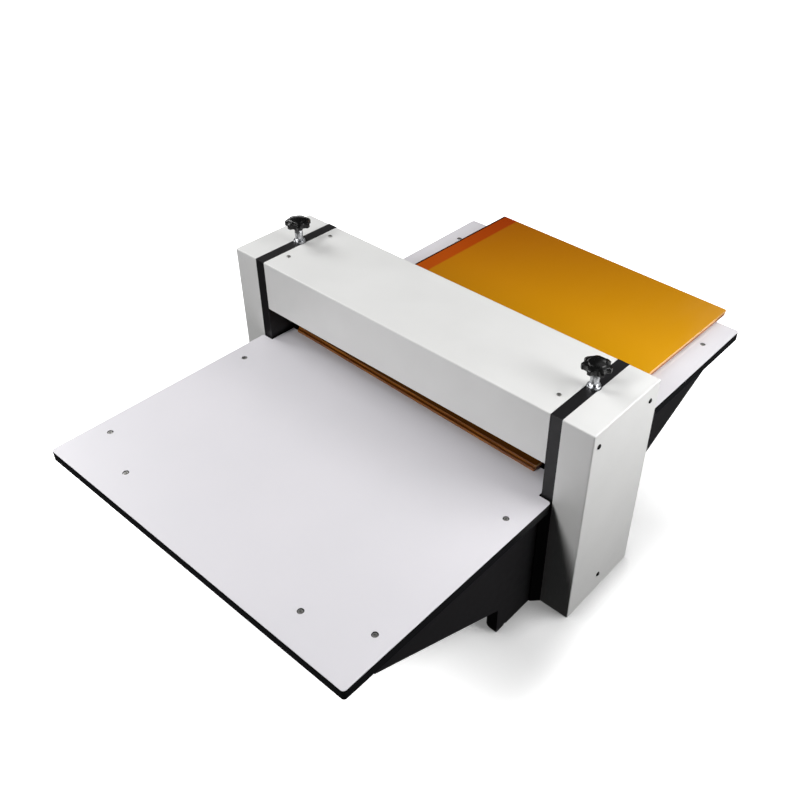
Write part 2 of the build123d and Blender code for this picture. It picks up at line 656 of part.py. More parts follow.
with BuildPart() as motor_output_shaft:
    round_x((270, PINION_X[1] + 6), NIP_Y, DRIVE_Z, OUTPUT_R)
    chamfer(motor_output_shaft.edges().filter_by(GeomType.CIRCLE), length=0.8)
save(motor_output_shaft, "motor_output_shaft")


# ---------------------------------------------------------------- gearmotor
GEARBOX_X = (230.0, 292.0)
MOTOR_X = (112.0, 230.0)
MOTOR_R = 36.0
FIN_OUT = 39.0
with BuildPart() as gearbox:
    with BuildSketch(Plane.YZ.offset(GEARBOX_X[0])):
        with Locations((NIP_Y, DRIVE_Z)):
            RectangleRounded(80, 80, 9)
    extrude(amount=GEARBOX_X[1] - GEARBOX_X[0])
    with BuildSketch(Plane.YZ.offset(GEARBOX_X[1])):
        with Locations((NIP_Y, DRIVE_Z)):
            RectangleRounded(90, 90, 8)
    extrude(amount=PLATE_IN - GEARBOX_X[1])
    round_x((PLATE_IN, PLATE_IN + 5), NIP_Y, DRIVE_Z, PILOT_R)
    round_x((262, PLATE_IN + 5), NIP_Y, DRIVE_Z, OUTPUT_R + GAP, Mode.SUBTRACT)
    for y, z in corners(DRIVE_Z, GEARBOX_BOLT):
        round_x((GEARBOX_X[1], PLATE_IN), y, z, 3, Mode.SUBTRACT)
        round_x((GEARBOX_X[0], GEARBOX_X[1]), y, z, 6.2, Mode.SUBTRACT)
save(gearbox, "gearbox")

with BuildPart() as gearbox_bolts:
    for y, z in corners(DRIVE_Z, GEARBOX_BOLT):
        round_x((GEARBOX_X[1], PLATE_IN + 10), y, z, 3)
        round_x((GEARBOX_X[1] - 6, GEARBOX_X[1]), y, z, 5)
        round_x((GEARBOX_X[1] - 6, GEARBOX_X[1] - 3), y, z, 2.5, Mode.SUBTRACT)
save(gearbox_bolts, "gearbox_bolts")

BOX_X = (148.0, 204.0)
BOX_Y = (NIP_Y - FIN_OUT - 25, NIP_Y - FIN_OUT)
BOX_Z = (DRIVE_Z - 20, DRIVE_Z + 20)
with BuildPart() as motor:
    round_x(MOTOR_X, NIP_Y, DRIVE_Z, MOTOR_R)
    with BuildSketch(Plane.YZ.offset(MOTOR_X[0] + 16)):
        with Locations((NIP_Y, DRIVE_Z)):
            with PolarLocations(MOTOR_R + 1, 28):
                Rectangle(4, 2.2)
    extrude(amount=MOTOR_X[1] - MOTOR_X[0] - 24)
    round_x((MOTOR_X[1] - 8, MOTOR_X[1]), NIP_Y, DRIVE_Z, FIN_OUT)
    round_x((MOTOR_X[0], MOTOR_X[0] + 16), NIP_Y, DRIVE_Z, FIN_OUT)
    fillet(motor.faces().sort_by(Axis.X)[0].edges(), radius=4)
    with BuildSketch(Plane.YZ.offset(MOTOR_X[0])):
        with Locations((NIP_Y, DRIVE_Z)):
            with PolarLocations(22, 10):
                SlotOverall(14, 3)
    extrude(amount=4, mode=Mode.SUBTRACT)

with BuildPart() as terminal_box:
    block(BOX_X, BOX_Y, BOX_Z)
    fillet(terminal_box.edges().filter_by(Axis.Y), radius=4)
    fillet(terminal_box.faces().sort_by(Axis.Y)[0].edges(), radius=1.5)
    round_x((BOX_X[0] - 10, BOX_X[0]), (BOX_Y[0] + BOX_Y[1]) / 2, DRIVE_Z, 7)

# the terminal box is a separate casting, screwed to the side of the motor
motor_pieces = Compound(label="motor", children=[motor.part.solid(), terminal_box.part.solid()])
export_step(motor_pieces, "parts/motor.step")

CAP_Y, CAP_X, CAP_R = 48.0, 336.5, 15.0
with BuildPart() as motor_capacitor:
    round_z(-CAP_X, CAP_Y, (88, 140), CAP_R)
    fillet(motor_capacitor.edges().filter_by(GeomType.CIRCLE), radius=2)
    block((-CAP_X, -PLATE_OUT), (CAP_Y - 6, CAP_Y + 6), (106, 120))
    for y in (CAP_Y - 5, CAP_Y + 5):
        block((-CAP_X - 1.5, -CAP_X + 1.5), (y - 0.4, y + 0.4), (139, 146))
save(motor_capacitor, "motor_capacitor")

# the motor's lead: along the pan, through the left plate and up to the switch
CABLE_UP_X = -362.0
SWITCH_BACK_Z = SWITCH_YZ[1] - 13.5
GLAND_Y = (BOX_Y[0] + BOX_Y[1]) / 2
cable_route = (
    (BOX_X[0] - 10, GLAND_Y, DRIVE_Z),
    (96, GLAND_Y, DRIVE_Z),
    (60, GLAND_Y + 4, CABLE_Z),
    (0, CABLE_Y, CABLE_Z),
    (CABLE_UP_X, CABLE_Y, CABLE_Z),
    (CABLE_UP_X, SWITCH_YZ[0], SWITCH_BACK_Z),
)
with BuildPart() as motor_cable:
    with BuildLine():
        route = FilletPolyline(*cable_route, radius=(20, 20, 60, 18))
    with BuildSketch(Plane(origin=route @ 0, z_dir=route % 0)):
        Circle(CABLE_R)
    sweep()
save(motor_cable, "motor_cable")

with BuildPart() as cable_grommet:
    lip = GROMMET_R + 3
    round_x((-PLATE_OUT, -PLATE_IN), CABLE_Y, CABLE_Z, GROMMET_R)
    round_x((-PLATE_OUT - 2, -PLATE_OUT), CABLE_Y, CABLE_Z, lip)
    round_x((-PLATE_IN, -PLATE_IN + 2), CABLE_Y, CABLE_Z, lip)
    round_x((-PLATE_OUT - 2, -PLATE_IN + 2), CABLE_Y, CABLE_Z, CABLE_R, Mode.SUBTRACT)
save(cable_grommet, "cable_grommet")


# ---------------------------------------------------------------- power inlet and switch
with BuildPart() as power_inlet:
    y, z = INLET_YZ
    block((-COVER_OUT - 2, -COVER_OUT), (y - 25, y + 25), (z - 12, z + 12))
    fillet(power_inlet.edges().filter_by(Axis.X), radius=4)
    block((-COVER_OUT, -COVER_OUT + 26), (y - 13.5, y + 13.5), (z - 10, z + 10))
    block((-COVER_OUT - 2, -COVER_OUT + 18), (y - 12, y + 12), (z - 8, z + 8), Mode.SUBTRACT)
    for dy, dz in ((-7, -2.5), (0, 2.5), (7, -2.5)):
        block((-COVER_OUT + 1, -COVER_OUT + 34), (y + dy - 1, y + dy + 1), (z + dz - 2, z + dz + 2))
    for dy in (-20, 20):
        round_x((-COVER_OUT - 2, -COVER_OUT), y + dy, z, 1.7, Mode.SUBTRACT)
save(power_inlet, "power_inlet")

ROCKER_HALF_Y, ROCKER_HALF_Z = 8.5, 11.0
with BuildPart() as switch_body:
    y, z = SWITCH_YZ
    block((-COVER_OUT - 2, -COVER_OUT), (y - 13, y + 13), (z - 16, z + 16))
    fillet(switch_body.edges().filter_by(Axis.X), radius=2)
    block((-COVER_OUT, -COVER_OUT + 22), (y - 11, y + 11), (z - 13.5, z + 13.5))
    well_y = (y - ROCKER_HALF_Y - 0.5, y + ROCKER_HALF_Y + 0.5)
    well_z = (z - ROCKER_HALF_Z - 1, z + ROCKER_HALF_Z + 1)
    block((-COVER_OUT - 2, -COVER_OUT + 10), well_y, well_z, Mode.SUBTRACT)
    for dz in (-8, 0, 8):
        block((-COVER_OUT + 22, -COVER_OUT + 30), (y - 3, y + 3), (z + dz - 0.4, z + dz + 0.4))
save(switch_body, "switch_body")

with BuildPart() as switch_rocker:
    y, z = SWITCH_YZ
    pivot_x = -COVER_OUT + 2
    # a rounded rocker: its face is two shallow ramps that meet over the pivot
    with BuildSketch(Plane.XZ.offset(-(y - ROCKER_HALF_Y))):
        with BuildLine():
            Polyline(
                (pivot_x + 4, z - 6),
                (pivot_x - 3, z - ROCKER_HALF_Z + 0.4),
                (pivot_x - 7, z - ROCKER_HALF_Z + 1),
                (pivot_x - 4.6, z),
                (pivot_x - 7, z + ROCKER_HALF_Z - 1),
                (pivot_x - 3, z + ROCKER_HALF_Z - 0.4),
                (pivot_x + 4, z + 6),
                close=True,
            )
        make_face()
    extrude(amount=-2 * ROCKER_HALF_Y)
save(switch_rocker, "switch_rocker")


# ---------------------------------------------------------------- upper bearing blocks
BLOCK_FLANGE_X = (294.0, PLATE_IN - GAP)
BLOCK_FACE_X = PLATE_OUT + GAP
POCKET_R = 9.0
with BuildPart() as upper_bearing_blocks:
    for sx in (-1, 1):
        half = SLOT_HALF - 0.2
        body_x = (sx * BLOCK_FLANGE_X[1], sx * BLOCK_FACE_X)
        flange_x = (sx * BLOCK_FLANGE_X[0], sx * BLOCK_FLANGE_X[1])
        block(body_x, nip_span(half), BLOCK_Z)
        block(flange_x, nip_span(SLOT_HALF + 8), BLOCK_Z)
        round_x((sx * BEARING_IN, sx * BLOCK_FACE_X), NIP_Y, UPPER_Z, BEARING_R, Mode.SUBTRACT)
        round_x((sx * BLOCK_FLANGE_X[0], sx * BEARING_IN), NIP_Y, UPPER_Z, 22, Mode.SUBTRACT)
        pocket = (BLOCK_Z[1] - POCKET_DEPTH, BLOCK_Z[1])
        round_z(sx * SCREW_X, NIP_Y, pocket, POCKET_R, Mode.SUBTRACT)
        hole = (sx * (BLOCK_FACE_X - 10), sx * BLOCK_FACE_X)
        for y, z in corners(UPPER_Z, KEEPER_BOLT):
            round_x(hole, y, z, M5_R, Mode.SUBTRACT)
save(upper_bearing_blocks, "upper_bearing_blocks")

KEEPER_T = 4.0
with BuildPart() as block_keeper_plates:
    for sx in (-1, 1):
        span = (sx * BLOCK_FACE_X, sx * (BLOCK_FACE_X + KEEPER_T))
        block(span, nip_span(SLOT_HALF + 6), (BLOCK_Z[0] + 4, BLOCK_Z[1] - 10))
        round_x(span, NIP_Y, UPPER_Z, 22, Mode.SUBTRACT)
        for y, z in corners(UPPER_Z, KEEPER_BOLT):
            round_x(span, y, z, M5_R, Mode.SUBTRACT)
save(block_keeper_plates, "block_keeper_plates")

with BuildPart() as keeper_screws:
    for sx in (-1, 1):
        face = BLOCK_FACE_X + KEEPER_T
        for y, z in corners(UPPER_Z, KEEPER_BOLT):
            round_x((sx * (face - 12), sx * face), y, z, M5_R)
            round_x((sx * face, sx * (face + 2.4)), y, z, 4.2)
            round_x((sx * (face + 1), sx * (face + 2.4)), y, z, 1.6, Mode.SUBTRACT)
save(keeper_screws, "keeper_screws")

# horseshoe plates that hold each pressure screw's foot down in its block
NECK_R = 5.0
with BuildPart() as screw_retainers:
    for sx in (-1, 1):
        z = (BLOCK_Z[1], BLOCK_Z[1] + RETAINER_T)
        block((sx * (PLATE_IN + 1), sx * (PLATE_OUT - 1)), nip_span(20), z)
        round_z(sx * SCREW_X, NIP_Y, z, NECK_R + GAP, Mode.SUBTRACT)
        slot_x = (sx * SCREW_X, sx * PLATE_OUT)
        block(slot_x, nip_span(NECK_R + GAP), z, Mode.SUBTRACT)
save(screw_retainers, "screw_retainers")


# ---------------------------------------------------------------- pressure screws and star knobs
with BuildPart() as pressure_screw_bushes:
    for sx in (-1, 1):
        x = sx * SCREW_X
        round_z(x, NIP_Y, (SLOT_Z[1] + 3, BODY_HEIGHT), BUSH_R)
        round_z(x, NIP_Y, (BODY_HEIGHT, BODY_HEIGHT + COLLAR_T), COLLAR_R)
    fillet(pressure_screw_bushes.faces().group_by(Axis.Z)[-1].edges(), radius=1)
    for sx in (-1, 1):
        top = BODY_HEIGHT + COLLAR_T
        bore = (SLOT_Z[1] + 3, top)
        round_z(sx * SCREW_X, NIP_Y, bore, SCREW_R + 0.08, Mode.SUBTRACT)
        round_z(sx * SCREW_X, NIP_Y, (top - RECESS_DEPTH, top), RECESS_R, Mode.SUBTRACT)
save(pressure_screw_bushes, "pressure_screw_bushes")

FOOT_R = POCKET_R - GAP
FOOT_BOTTOM = BLOCK_Z[1] - POCKET_DEPTH + GAP
HUB_BOTTOM = 405.0
HUB_R = 8.5
LOBE_BOTTOM = 412.0
KNOB_TOP = 426.0
KNOB_R = 22.4
DOME_R = 42.0
LOBES = 7
FIRST_NOTCH = -10.0  # degrees round from +X, with the knobs as they rest


def pressure_screw(name, x):
    """A screw with a captive foot; its thread's outside is a plain cylinder."""
    with BuildPart() as screw:
        round_z(x, NIP_Y, (FOOT_BOTTOM, BLOCK_Z[1] - GAP), FOOT_R)
        round_z(x, NIP_Y, (BLOCK_Z[1] - GAP, BLOCK_Z[1] + RETAINER_T + GAP), NECK_R)
        round_z(x, NIP_Y, (BLOCK_Z[1] + RETAINER_T + GAP, HUB_BOTTOM), SCREW_R)
        round_z(x, NIP_Y, (HUB_BOTTOM, LOBE_BOTTOM + 6), SCREW_R - 2)
    save(screw, name)


def star_knob(name, x):
    """A seven-lobed star knob with a domed top, on a short hub."""
    with BuildPart() as knob:
        with BuildSketch(Plane.XY.offset(LOBE_BOTTOM)) as star:
            with Locations((x, NIP_Y)):
                Circle(KNOB_R)
                with PolarLocations(KNOB_R + 3.5, LOBES, start_angle=FIRST_NOTCH):
                    Circle(8.2, mode=Mode.SUBTRACT)
            fillet(star.vertices(), radius=2)
        extrude(amount=KNOB_TOP - LOBE_BOTTOM)
        with Locations((x, NIP_Y, KNOB_TOP - DOME_R)):
            Sphere(DOME_R, mode=Mode.INTERSECT)
        fillet(knob.faces().sort_by(Axis.Z)[-1].edges(), radius=1.2)
        fillet(knob.faces().sort_by(Axis.Z)[0].edges(), radius=1.5)
        round_z(x, NIP_Y, (HUB_BOTTOM, LOBE_BOTTOM), HUB_R)
        round_z(x, NIP_Y, (HUB_BOTTOM, LOBE_BOTTOM + 6), SCREW_R - 2, Mode.SUBTRACT)
    save(knob, name)


for side, sign in SIDES:
    pressure_screw(f"{side}_pressure_screw", sign * SCREW_X)
    star_knob(f"{side}_star_knob", sign * SCREW_X)


# ---------------------------------------------------------------- carrier plates
CARRIER_X = -9.7
CARRIER_SKEW = math.radians(-1.2)  # the loose plates lie a little askew on the tables


def carrier_plate(name, y, z):
    """A flat rigid sheet with eased corners, between two distances along its own length."""
    along_width = (math.cos(CARRIER_SKEW), math.sin(CARRIER_SKEW), 0)
    with BuildPart() as sheet:
        with BuildSketch(Plane(origin=(CARRIER_X, 0, z), x_dir=along_width, z_dir=(0, 0, 1))):
            with Locations((0, sum(y) / 2)):
                RectangleRounded(CARRIER_W, y[1] - y[0], 3)
        extrude(amount=CARRIER_T)
        long_edges = sheet.edges().filter_by(GeomType.LINE).filter_by(lambda e: e.length > 100)
        fillet(long_edges, radius=0.4)
    save(sheet, name)


carrier_plate("lower_carrier_plate", (-47.5, 549.0), TABLE_Z)
carrier_plate("upper_carrier_plate", (-43.5, 551.5), TABLE_Z + CARRIER_T)
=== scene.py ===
"""The looks of the cold roll laminator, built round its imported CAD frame.

Everything is in metres, on the frame's axes: X along the rollers, +Y the feed direction, +Z up.
"""

import json
import math

import bmesh
import bpy
from mathutils import Matrix, Vector


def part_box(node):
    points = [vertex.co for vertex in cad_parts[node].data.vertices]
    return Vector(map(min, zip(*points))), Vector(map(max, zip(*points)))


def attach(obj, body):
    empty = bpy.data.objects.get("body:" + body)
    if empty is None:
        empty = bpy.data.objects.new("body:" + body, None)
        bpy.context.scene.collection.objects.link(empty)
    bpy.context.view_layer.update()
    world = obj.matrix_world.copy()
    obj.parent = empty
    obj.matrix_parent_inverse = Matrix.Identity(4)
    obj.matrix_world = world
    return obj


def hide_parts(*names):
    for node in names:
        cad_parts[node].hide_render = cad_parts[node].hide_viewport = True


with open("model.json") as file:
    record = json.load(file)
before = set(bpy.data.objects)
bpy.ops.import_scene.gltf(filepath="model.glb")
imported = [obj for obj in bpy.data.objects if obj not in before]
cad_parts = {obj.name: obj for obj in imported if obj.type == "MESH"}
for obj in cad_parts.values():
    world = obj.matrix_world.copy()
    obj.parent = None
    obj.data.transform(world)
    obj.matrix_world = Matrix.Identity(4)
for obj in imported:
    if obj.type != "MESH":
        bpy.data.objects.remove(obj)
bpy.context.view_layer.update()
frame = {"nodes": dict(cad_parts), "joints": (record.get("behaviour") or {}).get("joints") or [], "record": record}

MM = 0.001


# ---------------------------------------------------------------- places read from the frame
def middle(node):
    """The centre of a node's box."""
    low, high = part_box(node)
    return (low + high) / 2


def solids(node, gap=0.03):
    """The box of each separate solid in a node whose solids stand further apart than gap."""
    boxes = []
    for vertex in frame["nodes"][node].data.vertices:
        for low, high in boxes:
            if all(low[k] - gap < vertex.co[k] < high[k] + gap for k in range(3)):
                for k in range(3):
                    low[k] = min(low[k], vertex.co[k])
                    high[k] = max(high[k], vertex.co[k])
                break
        else:
            boxes.append((vertex.co.copy(), vertex.co.copy()))
    return boxes


CARRIER_LOW, CARRIER_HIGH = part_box("upper_carrier_plate")
CARRIER_SKEW = math.radians(-1.2)
CARRIER_EDGE_X = -0.28208  # where the line of the upper plate's left edge crosses y = 0
RED_BAND = 0.035  # width of the red band along the carrier plates' left edge
DARK_RIM = 0.004  # width of the dark line inside that band, at the very edge
THROAT_SHADE_TO = -0.023  # the carrier plates are painted darker up to this y: a painted shade for the part in the throat under the cover
JOINTS = {joint["name"]: Vector(joint["pos_m"]) for joint in frame["joints"] if "pos_m" in joint}
LOWER_AXIS = JOINTS["lower_roller_spin"]
UPPER_AXIS = JOINTS["upper_roller_spin"]


# ---------------------------------------------------------------- material kit
class Surface:
    """A procedural material: one Principled shader and the nodes that feed it, in object coordinates."""

    def __init__(self, name, color, roughness, **sockets):
        self.material = bpy.data.materials.new(name)
        self.material.use_nodes = True
        self.tree = self.material.node_tree
        self.shader = self.tree.nodes["Principled BSDF"]
        self.point = self.node("TexCoord").outputs["Object"]
        self.give("Base Color", (*color, 1))
        self.give("Roughness", roughness)
        for socket, value in sockets.items():
            self.give(socket.replace("_", " "), value)

    def give(self, socket, value):
        """Sets one of the shader's sockets, or links an output to it."""
        self.connect(value, self.shader.inputs[socket])

    def connect(self, value, socket):
        """Links an output to a socket, or sets the socket to a plain value."""
        if isinstance(value, bpy.types.NodeSocket):
            self.tree.links.new(value, socket)
        else:
            socket.default_value = value

    def node(self, kind, inputs=None, **settings):
        """Adds a node with its settings, and fills the inputs given by name or number."""
        made = self.tree.nodes.new("ShaderNode" + kind)
        for key, value in settings.items():
            setattr(made, key, value)
        for key, value in (inputs or {}).items():
            self.connect(value, made.inputs[key])
        return made

    def stretched(self, stretch):
        """Object coordinates multiplied by a factor along each axis."""
        return self.node("VectorMath", {0: self.point, 1: stretch}, operation="MULTIPLY").outputs[0]

    def noise(self, grain, detail, stretch=None):
        """Fractal noise from 0 to 1 whose lumps are about grain metres across."""
        where = self.stretched(stretch) if stretch else self.point
        inputs = {"Vector": where, "Scale": 1 / grain, "Detail": detail}
        return self.node("TexNoise", inputs).outputs["Fac"]

    def ramp(self, value, low, high, to_low=0.0, to_high=1.0):
        """Maps a value from one range to another, and holds it at the ends."""
        inputs = {"Value": value, 1: low, 2: high, 3: to_low, 4: to_high}
        return self.node("MapRange", inputs).outputs["Result"]

    def math(self, operation, a, b=0.0):
        """The result of a maths operation on one or two values."""
        return self.node("Math", {0: a, 1: b}, operation=operation).outputs[0]

    def blend(self, factor, a, b):
        """A colour between a and b, each of them a plain colour or an output."""
        first, second = (c if isinstance(c, bpy.types.NodeSocket) else (*c, 1) for c in (a, b))
        return self.node("Mix", {"Factor": factor, 6: first, 7: second}, data_type="RGBA").outputs[2]

    def axis(self, name):
        """The X, Y or Z of the object coordinates."""
        return self.node("SeparateXYZ", {0: self.point}).outputs[name]

    def normal_axis(self, name):
        """The X, Y or Z of the surface's normal, in object space."""
        normal = self.node("TexCoord").outputs["Normal"]
        return self.node("SeparateXYZ", {0: normal}).outputs[name]

    def edges(self, radius):
        """1 along the sharp edges, where a bevelled normal leaves the true one, and 0 elsewhere."""
        bevelled = self.node("Bevel", {"Radius": radius}, samples=6).outputs[0]
        plain = self.node("NewGeometry").outputs["Normal"]
        same = self.node("VectorMath", {0: bevelled, 1: plain}, operation="DOT_PRODUCT").outputs["Value"]
        return self.ramp(same, 0.995, 0.86)

    def bump(self, height, depth, rounding=None):
        """Bump of that depth in metres from a height of 0 to 1, over edges rounded by that radius."""
        inputs = {"Height": height, "Strength": 1.0, "Distance": depth}
        if rounding:
            inputs["Normal"] = self.node("Bevel", {"Radius": rounding}, samples=6).outputs[0]
        self.give("Normal", self.node("Bump", inputs).outputs[0])


# ---------------------------------------------------------------- materials, one function each
def cover_paint():
    """Warm light grey powder coat with a fine orange peel, and a painted highlight along its sharp edges."""
    s = Surface("cover_paint", (0.76, 0.76, 0.75), 0.42)
    tone = s.ramp(s.noise(0.09, 2), 0.3, 0.7)
    coat = s.blend(tone, (0.745, 0.745, 0.735), (0.775, 0.775, 0.765))
    # painted highlight: the coat is lighter along its sharp edges
    s.give("Base Color", s.blend(s.edges(0.0012), coat, (0.86, 0.86, 0.85)))
    s.give("Roughness", s.ramp(s.noise(0.012, 3), 0.3, 0.7, 0.38, 0.47))
    s.bump(s.noise(0.0013, 2), 0.00003, 0.0006)
    return s.material


def black_paint(name, tone):
    """Semi-gloss black paint, a little worn to bare grey along its edges."""
    s = Surface(name, (tone, tone, tone), 0.38, Specular_IOR_Level=0.3)
    worn = s.math("MULTIPLY", s.edges(0.0008), s.ramp(s.noise(0.006, 4), 0.45, 0.7))
    s.give("Base Color", s.blend(worn, (tone, tone * 0.96, tone * 1.04), (0.085, 0.082, 0.08)))
    s.give("Roughness", s.ramp(s.noise(0.02, 3), 0.3, 0.7, 0.33, 0.44))
    s.bump(s.noise(0.0011, 2), 0.00003, 0.0006)
    return s.material


def zinc_sheet():
    """Zinc-plated sheet with faint rolling marks and spangle."""
    s = Surface("zinc_sheet", (0.56, 0.57, 0.6), 0.38, Metallic=1.0)
    spangle = s.noise(0.008, 3)
    s.give("Base Color", s.blend(s.ramp(spangle, 0.3, 0.7), (0.50, 0.51, 0.54), (0.62, 0.63, 0.65)))
    s.give("Roughness", s.ramp(s.noise(0.002, 2, (0.05, 1, 1)), 0.3, 0.7, 0.30, 0.48))
    s.bump(s.noise(0.0015, 2, (0.05, 1, 1)), 0.00001, 0.0004)
    return s.material


def table_white():
    """White laminate, faintly lavender, with a fine texture and a few long scuffs along the feed."""
    s = Surface("table_white", (0.72, 0.705, 0.74), 0.38)
    tone = s.ramp(s.noise(0.16, 2), 0.3, 0.7)
    s.give("Base Color", s.blend(tone, (0.71, 0.697, 0.731), (0.73, 0.713, 0.748)))
    scuff = s.ramp(s.noise(0.006, 4, (1, 0.03, 1)), 0.62, 0.78, 0.0, 0.10)
    s.give("Roughness", s.math("ADD", s.ramp(s.noise(0.02, 3), 0.3, 0.7, 0.35, 0.41), scuff))
    s.bump(s.noise(0.0009, 2), 0.000015)
    return s.material


def table_edge():
    """The table board: a glossy black edge band, and a matt black backing sheet underneath."""
    s = Surface("table_edge", (0.010, 0.010, 0.011), 0.22, Specular_IOR_Level=0.4)
    under = s.ramp(s.normal_axis("Z"), -0.5, -0.9)
    fleck = s.ramp(s.noise(0.0016, 2), 0.55, 0.75)
    backing = s.blend(fleck, (0.018, 0.017, 0.016), (0.04, 0.036, 0.032))
    s.give("Base Color", s.blend(under, (0.010, 0.010, 0.011), backing))
    gloss = s.ramp(s.noise(0.01, 3), 0.3, 0.7, 0.18, 0.26)
    s.give("Roughness", s.ramp(under, 0, 1, gloss, 0.6))
    s.bump(s.noise(0.0012, 2, (0.15, 0.15, 1)), 0.00002, 0.0005)
    return s.material


def plain_metal(name, dark, light, rough, grain, stretch, depth):
    """A bare or blackened metal with tool marks stretched along or round an axis."""
    s = Surface(name, light, rough[0], Metallic=1.0)
    marks = s.noise(grain, 3, stretch)
    stain = s.ramp(s.noise(grain * 12, 3), 0.35, 0.7)
    s.give("Base Color", s.blend(stain, dark, light))
    s.give("Roughness", s.ramp(marks, 0.3, 0.7, *rough))
    s.bump(marks, depth, 0.0003)
    return s.material


def dark_screw():
    """Black oxide, lighter on its edges: partly rubbed bare, partly a painted highlight."""
    s = Surface("dark_screw", (0.03, 0.03, 0.03), 0.34, Metallic=1.0)
    # edges lighter: wear, and a painted highlight
    s.give("Base Color", s.blend(s.edges(0.0003), (0.028, 0.027, 0.026), (0.30, 0.29, 0.28)))
    s.give("Roughness", s.ramp(s.noise(0.001, 3), 0.3, 0.7, 0.28, 0.42))
    s.bump(s.noise(0.0004, 2), 0.00001, 0.0002)
    return s.material


def zinc_screw():
    """Bright zinc plating, duller in the low places and stained a little yellow."""
    s = Surface("zinc_screw", (0.5, 0.5, 0.5), 0.3, Metallic=0.8)
    stain = s.ramp(s.noise(0.002, 3), 0.35, 0.7)
    s.give("Base Color", s.blend(stain, (0.24, 0.235, 0.22), (0.42, 0.42, 0.41)))
    s.give("Roughness", s.ramp(s.noise(0.0008, 3), 0.3, 0.7, 0.26, 0.42))
    s.bump(s.noise(0.0004, 2), 0.00001, 0.0002)
    return s.material


SEAL_INSIDE, SEAL_OUTSIDE = 0.0184, 0.0268  # radii of a bearing's seal
SEAL_BLUR = 0.0003


def bearing_steel(name, centre):
    """Ground bearing rings round an axis along X through centre, with a black rubber seal between them."""
    s = Surface(name, (0.62, 0.62, 0.63), 0.22)
    across = s.math("SUBTRACT", s.axis("Y"), centre.y)
    height = s.math("SUBTRACT", s.axis("Z"), centre.z)
    square = s.math("ADD", s.math("MULTIPLY", across, across), s.math("MULTIPLY", height, height))
    radius = s.math("SQRT", square)
    past_inner_ring = s.ramp(radius, SEAL_INSIDE, SEAL_INSIDE + SEAL_BLUR)
    short_of_outer_ring = s.ramp(radius, SEAL_OUTSIDE, SEAL_OUTSIDE - SEAL_BLUR)
    seal = s.math("MULTIPLY", past_inner_ring, short_of_outer_ring)
    s.give("Base Color", s.blend(seal, (0.62, 0.62, 0.63), (0.022, 0.02, 0.02)))
    s.give("Metallic", s.ramp(seal, 0, 1, 1.0, 0.0))
    s.give("Roughness", s.ramp(seal, 0, 1, 0.2, 0.55))
    s.bump(s.noise(0.0005, 2, (8, 1, 1)), 0.000004, 0.0004)
    return s.material


def block_iron():
    """Machined cast iron: a fine dark grain under milling marks."""
    s = Surface("block_iron", (0.22, 0.22, 0.225), 0.42, Metallic=1.0)
    grain = s.ramp(s.noise(0.0015, 4), 0.35, 0.65)
    s.give("Base Color", s.blend(grain, (0.17, 0.17, 0.175), (0.27, 0.27, 0.275)))
    s.give("Roughness", s.ramp(s.noise(0.003, 3, (1, 0.2, 1)), 0.3, 0.7, 0.36, 0.5))
    s.bump(s.noise(0.0012, 3, (1, 0.2, 1)), 0.00002, 0.0004)
    return s.material


def chrome():
    """Bright plating with a faint haze."""
    s = Surface("chrome", (0.5, 0.51, 0.53), 0.3, Metallic=1.0)
    s.give("Roughness", s.ramp(s.noise(0.004, 3), 0.35, 0.7, 0.25, 0.36))
    s.bump(s.noise(0.003, 2), 0.000008, 0.0003)
    return s.material


def knob_black():
    """Glossy moulded black plastic with a faint waviness and fine handling marks."""
    s = Surface("knob_black", (0.005, 0.005, 0.005), 0.25, Specular_IOR_Level=0.35)
    handled = s.ramp(s.noise(0.003, 4), 0.55, 0.8)
    s.give("Base Color", s.blend(handled, (0.004, 0.004, 0.004), (0.012, 0.012, 0.011)))
    s.give("Roughness", s.ramp(s.noise(0.004, 3), 0.3, 0.7, 0.20, 0.30))
    s.bump(s.noise(0.0025, 2), 0.00001)
    return s.material


def roller_rubber():
    """Ground black rubber with fine grinding lines round the roller and a light bloom."""
    s = Surface("roller_rubber", (0.03, 0.03, 0.031), 0.6)
    bloom = s.ramp(s.noise(0.03, 4), 0.4, 0.7)
    s.give("Base Color", s.blend(bloom, (0.026, 0.026, 0.027), (0.048, 0.047, 0.046)))
    s.give("Roughness", s.ramp(s.noise(0.0012, 2, (1, 0.05, 0.05)), 0.3, 0.7, 0.5, 0.68))
    s.bump(s.noise(0.0008, 2, (1, 0.03, 0.03)), 0.00002, 0.0006)
    return s.material


def motor_paint():
    """Grey enamel on a cast motor body."""
    s = Surface("motor_paint", (0.17, 0.19, 0.21), 0.4)
    s.give("Base Color", s.blend(s.edges(0.0006), (0.165, 0.185, 0.205), (0.3, 0.31, 0.32)))
    s.give("Roughness", s.ramp(s.noise(0.006, 3), 0.3, 0.7, 0.34, 0.5))
    s.bump(s.noise(0.0016, 3), 0.00006, 0.0005)
    return s.material


def gearbox_alloy():
    """Die-cast alloy with a fine sand texture."""
    s = Surface("gearbox_alloy", (0.58, 0.59, 0.6), 0.45, Metallic=1.0)
    cloud = s.ramp(s.noise(0.01, 4), 0.3, 0.7)
    s.give("Base Color", s.blend(cloud, (0.5, 0.51, 0.52), (0.62, 0.63, 0.64)))
    s.give("Roughness", s.ramp(s.noise(0.002, 3), 0.3, 0.7, 0.4, 0.56))
    s.bump(s.noise(0.0009, 3), 0.00005, 0.0005)
    return s.material


def dark_plastic(name, color, roughness, grain, depth):
    """Moulded or extruded plastic or rubber with an even fine texture."""
    s = Surface(name, color, roughness)
    lighter = tuple(1.5 * c + 0.004 for c in color)
    s.give("Base Color", s.blend(s.ramp(s.noise(0.01, 3), 0.35, 0.75), color, lighter))
    s.give("Roughness", s.ramp(s.noise(grain * 3, 2), 0.3, 0.7, roughness - 0.06, roughness + 0.06))
    s.bump(s.noise(grain, 2), depth, 0.0004)
    return s.material


